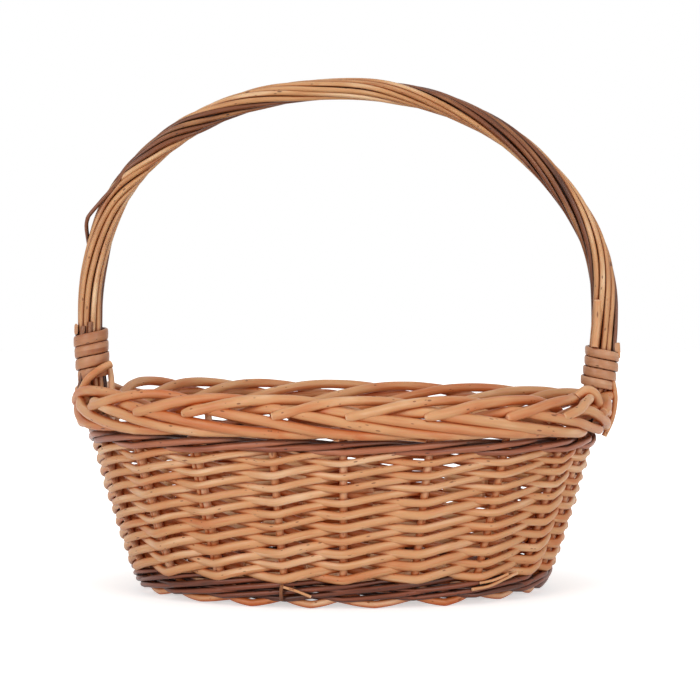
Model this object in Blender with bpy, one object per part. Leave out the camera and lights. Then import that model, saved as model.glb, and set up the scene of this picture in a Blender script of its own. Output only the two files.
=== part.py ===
"""Oval willow basket for gathering mushrooms, woven on upright stakes, with one fixed hoop handle.

Metres, +Z up. The origin is on the ground under the middle of the oval, and X runs along its length.
Angles go round the oval from its right end; the side that faces the picture is at -Y.
"""

import math

import bmesh
import bpy
from mathutils import Vector

# Wall: the oval line through the middle of the stakes, at the ground and at the wall's top. The handle's
# legs carry on the line of the end stakes, so the wall's top is as long as the handle less its bulge.
HANDLE_HALF_SPAN = 0.190
HANDLE_BULGE = 0.010
TOP_HALF_LENGTH = HANDLE_HALF_SPAN - HANDLE_BULGE
FOOT_HALF_LENGTH = 0.140
FOOT_HALF_DEPTH = 0.096
TOP_HALF_DEPTH = 0.127
WALL_HEIGHT = 0.114
FLARE_POWER = 0.8

# Rods, by their radius
STAKE_RADIUS = 0.0028
WEAVER_RADIUS = 0.0021
TOP_WALE_RADIUS = 0.0023
GAP = 0.0003

# Stakes: the share of a turn at which each upright stands; the bow's legs take the first and the middle one
UPRIGHT_TURN_SHARES = (
    0.0, 0.05, 0.10, 0.15, 0.20, 0.25, 0.30, 0.35, 0.40, 0.45,
    0.5, 0.5425, 0.603, 0.656, 0.7075, 0.751, 0.804, 0.858, 0.914, 0.953,
)
STAKE_BASE_HEIGHT = 0.012
STAKE_TILT_SHARE = 0.36
STAKE_INNER_SHARE = 0.82
STAKE_BEND_SHARE = 0.97
STAKE_RISE_SHARES = (0.16, 0.42, 0.72)

# Siding: rows of two weavers that twist about each other between the stakes
ROW_COUNT = 10
ROW_PITCH = 0.0089
FIRST_ROW_HEIGHT = 0.0245
WEAVE_DROP = 0.0003
CROSSING_SHARE = 0.27
WALE_STEP_UP = 0.0094
WALE_CROSSING_SHARE = 0.28

# Rim border: a plait of two kinds of rod, one of each to an upright. A route's places are how far it has
# gone in uprights, and where it then is, out and up, as shares of the border's width and height.
BORDER_HEIGHT = 0.0305
BORDER_WIDTH = 0.0265
BORDER_ROD_RADIUS = 0.0037
FALLING_ROUTE_SHARES = (
    (-0.35, -0.11, 0.39), (0.0, 0.08, 0.57), (0.3, 0.28, 0.64), (0.7, 0.40, 0.52), (1.2, 0.44, 0.35),
    (1.7, 0.43, 0.20), (2.2, 0.35, 0.12), (2.6, 0.19, 0.11), (2.95, 0.0, 0.15),
)
RISING_ROUTE_SHARES = (
    (-0.08, 0.47, 0.53), (0.22, 0.42, 0.66), (0.6, 0.29, 0.82), (1.05, 0.08, 0.88), (1.5, -0.15, 0.84),
    (1.95, -0.32, 0.67), (2.4, -0.39, 0.45), (2.85, -0.35, 0.25), (3.2, -0.22, 0.15),
)
CORE_WIDTH_SHARE = 0.62
CORE_HEIGHT_SHARE = 1.12
CORE_TOP_SHARE = 0.84
SECTIONS_PER_STAKE = 3
PLAIT_CORNERS = 19

# Foot: a pale border on the ground, and a brown wale over it outside the stakes
FOOT_HEIGHT = 0.0087
FOOT_IN = 0.0067
FOOT_OUT = 0.0078
FOOT_OUTLINE_SHARES = ((-1.0, 0.0), (0.30, 0.0), (1.0, 0.5), (1.0, 1.0), (-0.6, 1.0), (-1.0, 0.5))
FOOT_WALE_TOP = 0.0196
FOOT_WALE_THICKNESS = 0.0046

# Base: two sets of crossed sticks, and the weave round them
BASE_THICKNESS = 0.0090
BASE_SLOT_HALF_LENGTH = 0.066
BASE_SLOT_HALF_DEPTH = 0.013
STICK_END_SHARE = 0.77
LONG_STICK_COUNT = 3
LONG_STICK_WIDTH = 0.0050
LONG_STICK_HEIGHT = 0.0030
CROSS_STICK_COUNT = 5
CROSS_STICK_SPACING = 0.028
CROSS_STICK_WIDTH = 0.0060
CROSS_STICK_HEIGHT = 0.0066

# Handle: the bow's line in the plane y = 0, the rods laid round it and the two bindings
HANDLE_SPRING_HEIGHT = 0.205
HANDLE_TOP_HEIGHT = 0.3695
HANDLE_ROUND_POWER = 2.12
BOW_RADIUS = 0.0045
BOW_FOOT_HEIGHT = 0.023
BOW_LEG_STEPS = 10
BOW_TAPER_HEIGHT = 0.150
ROD_CLEARANCE = 0.0010
ROD_GROUPS = 3
ROD_OUTER_TOP_RADIUS = 0.0081
ROD_OUTER_LEG_RADIUS = 0.0095
TWIST_MIDDLE_SHARE = 0.142
TWIST_HALF_SHARE = 1.056
TWIST_EASE_SHARE = 0.8
GROUP_GAP_SHARE = 0.09
BAND_INNER_SHARES = (-1.0, -0.33, 0.33, 1.0)
BAND_OUTER_SHARES = (1.0, 0.5, 0.0, -0.5, -1.0)
ARCH_STEPS = 28
LEG_STEPS = 4
BINDING_TURNS = 4
BINDING_PITCH = 0.0088
BINDING_HEIGHT = 0.0072
BINDING_THICKNESS = 0.0034
BINDING_LEFT_START_HEIGHT = 0.1565
BINDING_RIGHT_START_HEIGHT = 0.1545
LOOP_POINTS = 24

# Detail: sides of the round rods, and the overrun of every cut
ROD_SIDES = 6
WEAVER_SIDES = 5
BOW_SIDES = 8
CUT = 0.002
MERGE = 0.00001
WEAVE_SLACK_SHARE = 1.04
BAND_SLACK_SHARE = 1.18
BINDING_SLACK_SHARE = 1.02
BINDING_FLAT_SHARE = 0.866
SHARP_DEGREES = 40
MILLIMETRES = 1000

UPRIGHTS = len(UPRIGHT_TURN_SHARES)
LEFT_UPRIGHT = UPRIGHTS // 2
BORDER_BOTTOM = FIRST_ROW_HEIGHT + ROW_PITCH * (ROW_COUNT - 1) + 2 * WALE_STEP_UP - 0.5 * ROW_PITCH
ROD_START_HEIGHT = BORDER_BOTTOM + BORDER_HEIGHT + ROD_CLEARANCE
UP = Vector((0, 0, 1))
ACROSS = Vector((0, 1, 0))


def clear_scene():
    for thing in list(bpy.data.objects):
        bpy.data.objects.remove(thing, do_unlink=True)


def willow(name, colour, roughness):
    """A matt material of one colour, red, green and blue in linear light."""
    material = bpy.data.materials.new(name)
    material.use_nodes = True
    shader = material.node_tree.nodes["Principled BSDF"]
    shader.inputs["Base Color"].default_value = (*colour, 1.0)
    shader.inputs["Roughness"].default_value = roughness
    shader.inputs["Metallic"].default_value = 0.0
    return material


def loft(name, sections, closed=False):
    """Skins a row of like sections: a sheet laid on them and sewn up, closed or with end caps."""
    rows = sections + sections[:1] if closed else sections
    around = len(rows[0])
    shape = bmesh.new()
    bmesh.ops.create_grid(shape, x_segments=around, y_segments=len(rows) - 1)
    shape.verts.ensure_lookup_table()
    for corner in shape.verts:
        row, column = divmod(corner.index, around + 1)
        corner.co = rows[row][column % around]
    bmesh.ops.remove_doubles(shape, verts=shape.verts, dist=MERGE)
    if not closed:
        open_edges = [edge for edge in shape.edges if edge.is_boundary]
        bmesh.ops.holes_fill(shape, edges=open_edges, sides=0)
    bmesh.ops.recalc_face_normals(shape, faces=shape.faces)
    mesh = bpy.data.meshes.new(name)
    shape.to_mesh(mesh)
    shape.free()
    return mesh


def put(name, mesh, material):
    """Puts a mesh in the scene as one named piece."""
    piece = bpy.data.objects.new(name, mesh)
    bpy.context.scene.collection.objects.link(piece)
    mesh.materials.append(material)
    mesh.shade_smooth()
    mesh.set_sharp_from_angle(angle=math.radians(SHARP_DEGREES))
    return piece


def cut_with(piece, cutter):
    """Cuts a cutter's room out of a piece, and leaves the cutter as a wire guide."""
    cutter.hide_render = True
    cutter.display_type = "WIRE"
    cut = piece.modifiers.new(cutter.name, "BOOLEAN")
    cut.operation = "DIFFERENCE"
    cut.object = cutter


def circle_section(centre, across, upward, radius, sides):
    """A round section about a centre, with flats towards the upward side."""
    corners = []
    for i in range(sides):
        angle = turn_angle((i + 0.5) / sides)
        corners.append(centre + across * (radius * math.sin(angle)) + upward * (radius * math.cos(angle)))
    return corners


def tube_sections(path, radii, side, sides):
    """Round sections along a path; side is a direction square to it all the way."""
    sections = []
    for i, centre in enumerate(path):
        ahead = path[min(i + 1, len(path) - 1)] - path[max(i - 1, 0)]
        upward = side.cross(ahead).normalized()
        sections.append(circle_section(centre, side, upward, radii[i], sides))
    return sections


def turn_angle(share):
    return 2 * math.pi * share


def upright_angle(number):
    """The angle of an upright; halves stand for places between two of them."""
    low = math.floor(number)
    part = number - low
    laps, index = divmod(low, UPRIGHTS)
    start = UPRIGHT_TURN_SHARES[index]
    end = UPRIGHT_TURN_SHARES[(index + 1) % UPRIGHTS] + (1 if index + 1 == UPRIGHTS else 0)
    return turn_angle(laps + start + (end - start) * part)


def leg_reach(height):
    """How far from the middle the bow's leg stands at a height above the wall's top."""
    part = (HANDLE_SPRING_HEIGHT - height) / (HANDLE_SPRING_HEIGHT - WALL_HEIGHT)
    return HANDLE_HALF_SPAN - HANDLE_BULGE * part**2


def wall_half_axes(height):
    """Half length and half depth of the wall's middle line; over its top the ends lean with the legs."""
    flare = (max(height, 0.0) / WALL_HEIGHT) ** FLARE_POWER
    half_length = FOOT_HALF_LENGTH + (TOP_HALF_LENGTH - FOOT_HALF_LENGTH) * flare
    half_depth = FOOT_HALF_DEPTH + (TOP_HALF_DEPTH - FOOT_HALF_DEPTH) * flare
    if height > WALL_HEIGHT:
        half_length = leg_reach(height)
    return half_length, half_depth


def oval_place(angle, half_length, half_depth, height, out=0.0):
    """A place on an oval, moved outward in plan by out."""
    outward = Vector((half_depth * math.cos(angle), half_length * math.sin(angle), 0)).normalized()
    on_line = Vector((half_length * math.cos(angle), half_depth * math.sin(angle), height))
    return on_line + outward * out


def wall_place(angle, height, out=0.0):
    return oval_place(angle, *wall_half_axes(height), height, out)


def wall_normal(angle, height):
    """The direction square to the leaning wall, outward."""
    upward = wall_place(angle, height + GAP) - wall_place(angle, height)
    half_length, half_depth = wall_half_axes(height)
    around = Vector((-half_length * math.sin(angle), half_depth * math.cos(angle), 0))
    return around.cross(upward).normalized()


def wall_upward(angle, height):
    return (wall_place(angle, height + GAP) - wall_place(angle, height)).normalized()


def woven_point(angle, level, out, rise):
    """A place on a weaver, off the wall's middle line by out and up the slope by rise."""
    return wall_place(angle, level) + wall_normal(angle, level) * out + wall_upward(angle, level) * rise


def weaver_offset(radius):
    """How far a weaver's middle lies from a stake's, with the gap and the slant at which it passes."""
    return (STAKE_RADIUS + radius + GAP) * WEAVE_SLACK_SHARE


def weaver(name, level, phase, radius, crossing, material):
    """One rod of a row: in front of a stake, behind the next, over or under its partner between."""
    offset = weaver_offset(radius)
    path = []
    for number in range(UPRIGHTS):
        front = (number + phase) % 2 == 0
        sign = 1 if front else -1
        at_stake = upright_angle(number)
        path.append(woven_point(at_stake, level, sign * offset, -sign * WEAVE_DROP))
        path.append(woven_point(upright_angle(number + 0.5), level, 0.0, sign * crossing))
    sections = []
    for i, centre in enumerate(path):
        ahead = (path[(i + 1) % len(path)] - path[i - 1]).normalized()
        across = ahead.cross(UP).normalized()
        sections.append(circle_section(centre, across, UP, radius, WEAVER_SIDES))
    put(name, loft(name, sections, closed=True), material)


def make_siding(material):
    number = 1
    for row in range(ROW_COUNT):
        level = FIRST_ROW_HEIGHT + row * ROW_PITCH
        for phase in range(2):
            name = f"siding_weaver_{number:02d}"
            weaver(name, level, phase, WEAVER_RADIUS, ROW_PITCH * CROSSING_SHARE, material)
            number += 1


def make_top_wale(material):
    level = FIRST_ROW_HEIGHT + (ROW_COUNT - 1) * ROW_PITCH + WALE_STEP_UP
    for phase in range(2):
        name = f"top_wale_weaver_{phase + 1}"
        weaver(name, level, phase, TOP_WALE_RADIUS, WALE_STEP_UP * WALE_CROSSING_SHARE, material)


def stake_path(angle):
    """From inside the base weave, out to the wall's foot and up its slope to the border."""
    half_axes = (FOOT_HALF_LENGTH, FOOT_HALF_DEPTH)
    path = []
    for share in (STAKE_INNER_SHARE, STAKE_BEND_SHARE):
        path.append(oval_place(angle, *(share * half for half in half_axes), STAKE_BASE_HEIGHT))
    top = BORDER_BOTTOM - GAP - STAKE_RADIUS * STAKE_TILT_SHARE
    path += [wall_place(angle, share * top) for share in STAKE_RISE_SHARES]
    path.append(wall_place(angle, top))
    return path


def stake_sections(angle, radius):
    path = stake_path(angle)
    spread = path[-1] - path[0]
    side = spread.cross(UP).normalized()
    return tube_sections(path, [radius] * len(path), side, ROD_SIDES)


def make_stakes(material, base_weave):
    number = 1
    for index, share in enumerate(UPRIGHT_TURN_SHARES):
        if index in (0, LEFT_UPRIGHT):
            continue
        angle = turn_angle(share)
        name = f"stake_{number:02d}"
        put(name, loft(name, stake_sections(angle, STAKE_RADIUS)), material)
        socket_mesh = loft(name, stake_sections(angle, STAKE_RADIUS + GAP))
        cut_with(base_weave, put(f"socket_{number:02d}", socket_mesh, material))
        number += 1


def box(name, centre, size, material):
    """A block with its centre and its full sizes."""
    shape = bmesh.new()
    bmesh.ops.create_cube(shape, size=1.0)
    bmesh.ops.scale(shape, vec=size, verts=shape.verts)
    bmesh.ops.translate(shape, vec=centre, verts=shape.verts)
    mesh = bpy.data.meshes.new(name)
    shape.to_mesh(mesh)
    shape.free()
    return put(name, mesh, material)


def grown(size, by):
    return Vector(size) + Vector((by, by, by)) * 2


def make_base_weave(material):
    """The oval mat round the crossed sticks, with a slot where the sticks show."""
    low = STAKE_BASE_HEIGHT - BASE_THICKNESS / 2
    high = STAKE_BASE_HEIGHT + BASE_THICKNESS / 2
    rim_length = FOOT_HALF_LENGTH - FOOT_IN - GAP
    rim_depth = FOOT_HALF_DEPTH - FOOT_IN - GAP
    sections = []
    for step in range(UPRIGHTS * 2):
        angle = turn_angle(step / (UPRIGHTS * 2))
        outer = [oval_place(angle, rim_length, rim_depth, height) for height in (low, high)]
        inner = [
            oval_place(angle, BASE_SLOT_HALF_LENGTH, BASE_SLOT_HALF_DEPTH, height) for height in (high, low)
        ]
        sections.append(outer + inner)
    return put("base_weave", loft("base_weave", sections, closed=True), material)


def make_sticks(material, base_weave):
    middle = STAKE_BASE_HEIGHT
    long_half = STICK_END_SHARE * FOOT_HALF_LENGTH
    pitch = LONG_STICK_WIDTH + GAP
    long_size = (2 * long_half, LONG_STICK_WIDTH, LONG_STICK_HEIGHT)
    long_places = []
    for i in range(LONG_STICK_COUNT):
        long_places.append(Vector((0, (i - (LONG_STICK_COUNT - 1) / 2) * pitch, middle)))
    for i, centre in enumerate(long_places):
        name = f"base_long_stick_{i + 1}"
        box(name, centre, long_size, material)
        cut_with(base_weave, box(f"room_{name}", centre, grown(long_size, GAP), material))
    for i in range(CROSS_STICK_COUNT):
        name = f"base_cross_stick_{i + 1}"
        x = (i - (CROSS_STICK_COUNT - 1) / 2) * CROSS_STICK_SPACING
        half = STICK_END_SHARE * FOOT_HALF_DEPTH * math.sqrt(1 - (x / FOOT_HALF_LENGTH) ** 2)
        size = (CROSS_STICK_WIDTH, 2 * half, CROSS_STICK_HEIGHT)
        centre = Vector((x, 0, middle))
        stick = box(name, centre, size, material)
        slit_width = LONG_STICK_COUNT * pitch - GAP
        slit_size = grown((CROSS_STICK_WIDTH + CUT, slit_width, LONG_STICK_HEIGHT), GAP)
        cut_with(stick, box(f"slit_{name}", centre, slit_size, material))
        cut_with(base_weave, box(f"room_{name}", centre, grown(size, GAP), material))


def route_place(route, gone):
    """Where a rod of the border is, out and up from the border's middle, or None past its ends."""
    for one, two in zip(route, route[1:]):
        if one[0] <= gone <= two[0]:
            share = (gone - one[0]) / (two[0] - one[0])
            out_share, up_share = Vector(one[1:]).lerp(Vector(two[1:]), share)
            return Vector((out_share * BORDER_WIDTH, (up_share - 0.5) * BORDER_HEIGHT))
    return None


def crossing_rods(number):
    """The places of all the rods that cross the border's section at an upright or between two."""
    rods = []
    for route in (FALLING_ROUTE_SHARES, RISING_ROUTE_SHARES):
        behind = math.floor(route[0][0])
        while behind < route[-1][0]:
            place = route_place(route, number % 1 + behind)
            if place is not None:
                rods.append(place)
            behind += 1
    return rods


def core_reach(ray):
    """How far the filling between the rods reaches along a ray from the border's middle."""
    height_share = CORE_HEIGHT_SHARE if ray.y < 0 else CORE_TOP_SHARE
    across = ray.x / (CORE_WIDTH_SHARE * BORDER_WIDTH / 2)
    upward = ray.y / (height_share * BORDER_HEIGHT / 2)
    return 1 / math.hypot(across, upward)


def plait_section(number):
    """One section of the plait: as far out each way as its rods reach, and flat above and below."""
    rods = crossing_rods(number)
    angle = upright_angle(number)
    section = []
    for i in range(PLAIT_CORNERS):
        turn = turn_angle((i + 0.5) / PLAIT_CORNERS)
        ray = Vector((math.cos(turn), math.sin(turn)))
        reach = core_reach(ray)
        for rod in rods:
            aside = rod.cross(ray)
            if abs(aside) < BORDER_ROD_RADIUS and rod.dot(ray) > 0:
                reach = max(reach, rod.dot(ray) + math.sqrt(BORDER_ROD_RADIUS**2 - aside**2))
        reach = min(reach, BORDER_HEIGHT / 2 / abs(ray.y))
        height = BORDER_BOTTOM + BORDER_HEIGHT / 2 + ray.y * reach
        section.append(wall_place(angle, height, ray.x * reach))
    return section


def make_rim_border(material, bow_room):
    count = UPRIGHTS * SECTIONS_PER_STAKE
    sections = [plait_section(step / SECTIONS_PER_STAKE) for step in range(count)]
    border = put("rim_border", loft("rim_border", sections, closed=True), material)
    cut_with(border, bow_room)


def make_foot(border_material, wale_material):
    count = UPRIGHTS * 2
    border_sections = []
    for step in range(count):
        angle = turn_angle(step / count)
        section = []
        for out_share, up_share in FOOT_OUTLINE_SHARES:
            reach = FOOT_OUT if out_share > 0 else FOOT_IN
            height = up_share * FOOT_HEIGHT
            section.append(
                oval_place(angle, FOOT_HALF_LENGTH, FOOT_HALF_DEPTH, height, out_share * reach)
            )
        border_sections.append(section)
    put("foot_border", loft("foot_border", border_sections, closed=True), border_material)
    inner = (STAKE_RADIUS + GAP) * WEAVE_SLACK_SHARE
    outer = inner + FOOT_WALE_THICKNESS
    low = FOOT_HEIGHT + 2 * GAP
    middle = (low + FOOT_WALE_TOP) / 2
    outline = [
        (inner / 2, low), ((inner + outer) / 2, low), (outer, middle),
        (outer, FOOT_WALE_TOP), (inner, FOOT_WALE_TOP), (inner, middle),
    ]
    wale_sections = []
    for step in range(count):
        angle = turn_angle(step / count)
        wale_sections.append([wall_place(angle, height, out) for out, height in outline])
    put("foot_wale", loft("foot_wale", wale_sections, closed=True), wale_material)


def leg_points(low, steps):
    """One leg's line from a height up to where the arch springs, for the right side."""
    points = []
    for i in range(steps):
        height = low + (HANDLE_SPRING_HEIGHT - low) * i / steps
        points.append(Vector((wall_half_axes(height)[0], 0, height)))
    return points


def arch_points():
    """The arch from the right springing over to the left one."""
    rise = HANDLE_TOP_HEIGHT - HANDLE_SPRING_HEIGHT
    power = 2 / HANDLE_ROUND_POWER
    points = []
    for i in range(ARCH_STEPS + 1):
        angle = math.pi * i / ARCH_STEPS
        reach = HANDLE_HALF_SPAN * abs(math.cos(angle)) ** power * math.copysign(1, math.cos(angle))
        points.append(Vector((reach, 0, HANDLE_SPRING_HEIGHT + rise * max(math.sin(angle), 0.0) ** power)))
    return points


def mirrored(points):
    return [Vector((-point.x, point.y, point.z)) for point in reversed(points)]


def handle_line(low, steps):
    right = leg_points(low, steps)
    return right + arch_points() + mirrored(right)


def bow_sections(extra):
    path = handle_line(BOW_FOOT_HEIGHT, BOW_LEG_STEPS)
    radii = []
    for point in path:
        share = min(max((point.z - WALL_HEIGHT) / (BOW_TAPER_HEIGHT - WALL_HEIGHT), 0.0), 1.0)
        radii.append(STAKE_RADIUS + (BOW_RADIUS - STAKE_RADIUS) * share + extra)
    return tube_sections(path, radii, ACROSS, BOW_SIDES)


def make_bow(material):
    put("handle_bow", loft("handle_bow", bow_sections(0.0)), material)
    return put("bow_room", loft("bow_room", bow_sections(GAP)), material)


def arc_lengths(path):
    lengths = [0.0]
    for before, after in zip(path, path[1:]):
        lengths.append(lengths[-1] + (after - before).length)
    return lengths


def rod_group_radius(height):
    share = (height - HANDLE_SPRING_HEIGHT) / (HANDLE_TOP_HEIGHT - HANDLE_SPRING_HEIGHT)
    share = min(max(share, 0.0), 1.0)
    return ROD_OUTER_LEG_RADIUS + (ROD_OUTER_TOP_RADIUS - ROD_OUTER_LEG_RADIUS) * share


def twist_share(part):
    """Turns that the rods have made at a part of their way from the left, fewer near the ends."""
    away = 2 * part - 1
    eased = TWIST_EASE_SHARE * math.sin(math.pi / 2 * away) + (1 - TWIST_EASE_SHARE) * away
    return TWIST_MIDDLE_SHARE + TWIST_HALF_SHARE * eased


def make_handle_rods(materials):
    """Bands of rods laid side by side and twisted round the bow, one band to each group."""
    path = handle_line(ROD_START_HEIGHT, LEG_STEPS)
    lengths = arc_lengths(path)
    inner = (BOW_RADIUS + GAP) * BAND_SLACK_SHARE
    half = math.pi / ROD_GROUPS * (1 - GROUP_GAP_SHARE)
    corners = [(inner, share * half) for share in BAND_INNER_SHARES]
    for group, (name, material) in enumerate(materials):
        sections = []
        for i, centre in enumerate(path):
            ahead = path[min(i + 1, len(path) - 1)] - path[max(i - 1, 0)]
            outward = ahead.cross(ACROSS).normalized()
            outer = rod_group_radius(centre.z)
            band = corners + [(outer, share * half) for share in BAND_OUTER_SHARES]
            twist = turn_angle(group / ROD_GROUPS - twist_share(1 - lengths[i] / lengths[-1]))
            section = []
            for radius, angle in band:
                reach = outward * (radius * math.cos(twist + angle))
                section.append(centre + reach - ACROSS * (radius * math.sin(twist + angle)))
            sections.append(section)
        put(name, loft(name, sections), material)


def binding_path(low, mirror):
    """The winding's middle line: whole turns at a steady climb, with a straight run at each end."""
    reach = (ROD_OUTER_LEG_RADIUS + GAP + BINDING_THICKNESS / 2) * BINDING_SLACK_SHARE
    points = []
    count = BINDING_TURNS * LOOP_POINTS
    for i in range(count + 1):
        turn = i / LOOP_POINTS
        height = low + BINDING_PITCH * turn
        lean = leg_reach(height)
        angle = turn_angle(turn)
        outward = Vector((math.cos(angle), math.sin(angle), 0))
        centre = Vector((lean, 0, height))
        points.append((centre + outward * reach, outward))
    ends = []
    for point, outward, sense in ((*points[0], -1), (*points[-1], 1)):
        climb = BINDING_PITCH * BINDING_HEIGHT / (2 * math.pi * reach)
        run = (UP.cross(outward) * BINDING_HEIGHT + UP * climb) * sense
        ends.append((point + run, outward))
    points = [ends[0]] + points + [ends[1]]
    if mirror:
        flip = Vector((-1, 1, 1))
        points = [(point * flip, outward * flip) for point, outward in points]
    return points


def least_gap(points):
    """The least clear space between one turn and the next, measured on the winding's points."""
    least = math.inf
    for i, (one, _) in enumerate(points):
        for other, _ in points[i + LOOP_POINTS // 2 :]:
            apart = one - other
            level = math.hypot(apart.x, apart.y)
            if level < BINDING_THICKNESS:
                least = min(least, abs(apart.z) - BINDING_HEIGHT)
    return least


def make_binding(name, low, mirror, material):
    """One flat strip of rod wound round the handle's leg."""
    points = binding_path(low, mirror)
    sections = []
    for point, outward in points:
        section = []
        for i in range(ROD_SIDES):
            angle = turn_angle(i / ROD_SIDES)
            thick = outward * (BINDING_THICKNESS / 2 * math.cos(angle))
            tall = UP * (BINDING_HEIGHT / 2 * math.sin(angle) / BINDING_FLAT_SHARE)
            section.append(point + thick + tall)
        sections.append(section)
    put(name, loft(name, sections), material)
    print(f"{name}: least gap to itself {least_gap(points) * MILLIMETRES:.2f} mm")


def build():
    clear_scene()
    buff = willow("buff_willow", (0.68, 0.40, 0.19), 0.55)
    brown = willow("brown_willow", (0.17, 0.075, 0.04), 0.6)
    cane = willow("handle_buff_willow", (0.66, 0.37, 0.15), 0.5)
    base_weave = make_base_weave(buff)
    make_sticks(buff, base_weave)
    make_stakes(buff, base_weave)
    make_foot(buff, brown)
    make_siding(buff)
    make_top_wale(brown)
    bow_room = make_bow(brown)
    make_rim_border(buff, bow_room)
    names = (("handle_rods_brown", brown), ("handle_rods_buff_1", cane), ("handle_rods_buff_2", cane))
    make_handle_rods(names)
    make_binding("binding_right", BINDING_RIGHT_START_HEIGHT, False, buff)
    make_binding("binding_left", BINDING_LEFT_START_HEIGHT, True, buff)


build()
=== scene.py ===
"""Dresses the willow basket: every rod as a round peeled or unpeeled shoot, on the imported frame."""

import math
import random

import bmesh
import bpy
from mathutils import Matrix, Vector, noise


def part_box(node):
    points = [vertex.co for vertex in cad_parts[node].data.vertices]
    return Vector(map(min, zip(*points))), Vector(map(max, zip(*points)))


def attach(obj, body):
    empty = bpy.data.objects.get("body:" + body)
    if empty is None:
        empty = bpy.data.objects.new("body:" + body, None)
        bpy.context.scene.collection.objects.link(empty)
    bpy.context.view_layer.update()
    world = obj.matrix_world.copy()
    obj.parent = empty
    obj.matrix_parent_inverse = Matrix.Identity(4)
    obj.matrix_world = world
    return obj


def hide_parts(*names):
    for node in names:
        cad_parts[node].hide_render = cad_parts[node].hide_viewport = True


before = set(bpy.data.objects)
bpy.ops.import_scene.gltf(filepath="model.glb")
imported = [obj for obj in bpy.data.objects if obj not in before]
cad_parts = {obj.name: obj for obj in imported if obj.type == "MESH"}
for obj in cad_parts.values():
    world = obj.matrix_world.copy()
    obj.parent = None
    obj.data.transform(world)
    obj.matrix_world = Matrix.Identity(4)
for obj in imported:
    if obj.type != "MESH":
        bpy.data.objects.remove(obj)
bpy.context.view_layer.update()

bl_info = {
    "name": "Willow basket",
    "version": (1, 0, 0),
    "blender": (4, 5, 0),
    "location": "View3D > Sidebar > Basket",
    "description": "Weaves an oval willow basket with a twisted hoop handle",
    "category": "Add Mesh",
}

UP = Vector((0, 0, 1))
ACROSS = Vector((0, 1, 0))
MM = 0.001

# The wall's middle line, the stakes and the rows, as the frame has them
HANDLE_HALF_SPAN = 0.190
HANDLE_BULGE = 0.010
HANDLE_SPRING_HEIGHT = 0.205
FOOT_HALF_LENGTH = 0.140
FOOT_HALF_DEPTH = 0.096
TOP_HALF_LENGTH = HANDLE_HALF_SPAN - HANDLE_BULGE
TOP_HALF_DEPTH = 0.127
WALL_HEIGHT = 0.114
FLARE_POWER = 0.8
UPRIGHT_TURN_SHARES = (
    0.0, 0.05, 0.10, 0.15, 0.20, 0.25, 0.30, 0.35, 0.40, 0.45,
    0.5, 0.5425, 0.603, 0.656, 0.7075, 0.751, 0.804, 0.858, 0.914, 0.953,
)
UPRIGHTS = len(UPRIGHT_TURN_SHARES)
ROW_COUNT = 10
ROW_PITCH = 0.0089
FIRST_ROW_HEIGHT = 0.0245
WALE_STEP_UP = 0.0094
STAKE_RADIUS = 0.0028
STAKE_BASE_HEIGHT = 0.012
BORDER_BOTTOM = FIRST_ROW_HEIGHT + ROW_PITCH * (ROW_COUNT - 1) + 2 * WALE_STEP_UP - 0.5 * ROW_PITCH
BORDER_HEIGHT = 0.0305
# The photographed basket hangs lower at its right end
TILT = 0.0021

# The photograph's frame: its size, its focal length and where the horizon and the basket's middle lie, in pixels
IMAGE_SIZE = 700
FOCAL_PX = 2034
HORIZON_Y = 308
MIDDLE_X = 342.5
SENSOR_MM = 36
EYE_DISTANCE = 1.505
EYE_HEIGHT = 0.208


def turn(share):
    return 2 * math.pi * share


def upright_angle(number):
    """The angle of an upright; halves stand for places between two of them."""
    low = math.floor(number)
    laps, index = divmod(low, UPRIGHTS)
    start = UPRIGHT_TURN_SHARES[index]
    end = UPRIGHT_TURN_SHARES[(index + 1) % UPRIGHTS] + (1 if index + 1 == UPRIGHTS else 0)
    return turn(laps + start + (end - start) * (number - low))


def leg_reach(height):
    """How far from the middle the bow's leg stands, over the wall's top."""
    part = (HANDLE_SPRING_HEIGHT - height) / (HANDLE_SPRING_HEIGHT - WALL_HEIGHT)
    return HANDLE_HALF_SPAN - HANDLE_BULGE * part**2


def wall_half_axes(height):
    """Half length and half depth of the wall's middle line; over its top the ends lean with the legs."""
    flare = (max(height, 0.0) / WALL_HEIGHT) ** FLARE_POWER
    half_length = FOOT_HALF_LENGTH + (TOP_HALF_LENGTH - FOOT_HALF_LENGTH) * flare
    half_depth = FOOT_HALF_DEPTH + (TOP_HALF_DEPTH - FOOT_HALF_DEPTH) * flare
    if height > WALL_HEIGHT:
        half_length = leg_reach(height)
    return half_length, half_depth


def oval_place(angle, half_length, half_depth, height, out=0.0):
    outward = Vector((half_depth * math.cos(angle), half_length * math.sin(angle), 0)).normalized()
    return Vector((half_length * math.cos(angle), half_depth * math.sin(angle), height)) + outward * out


def wall_place(angle, height, out=0.0):
    place = oval_place(angle, *wall_half_axes(height), height, out)
    place.z -= TILT * math.cos(angle) * height / BORDER_BOTTOM
    return place


def woven_place(angle, level, out, rise):
    """A place off the leaning wall's middle line, out along its normal and up its slope."""
    base = wall_place(angle, level)
    slope = (wall_place(angle, level + MM) - base).normalized()
    half_length, half_depth = wall_half_axes(level)
    around = Vector((-half_length * math.sin(angle), half_depth * math.cos(angle), 0))
    return base + around.cross(slope).normalized() * out + slope * rise


def eye_place():
    """Where the camera stands, and how far it looks down."""
    aside = (IMAGE_SIZE / 2 - MIDDLE_X) * EYE_DISTANCE / FOCAL_PX
    return Vector((aside, -EYE_DISTANCE, EYE_HEIGHT)), math.atan((IMAGE_SIZE / 2 - HORIZON_Y) / FOCAL_PX)


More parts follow.
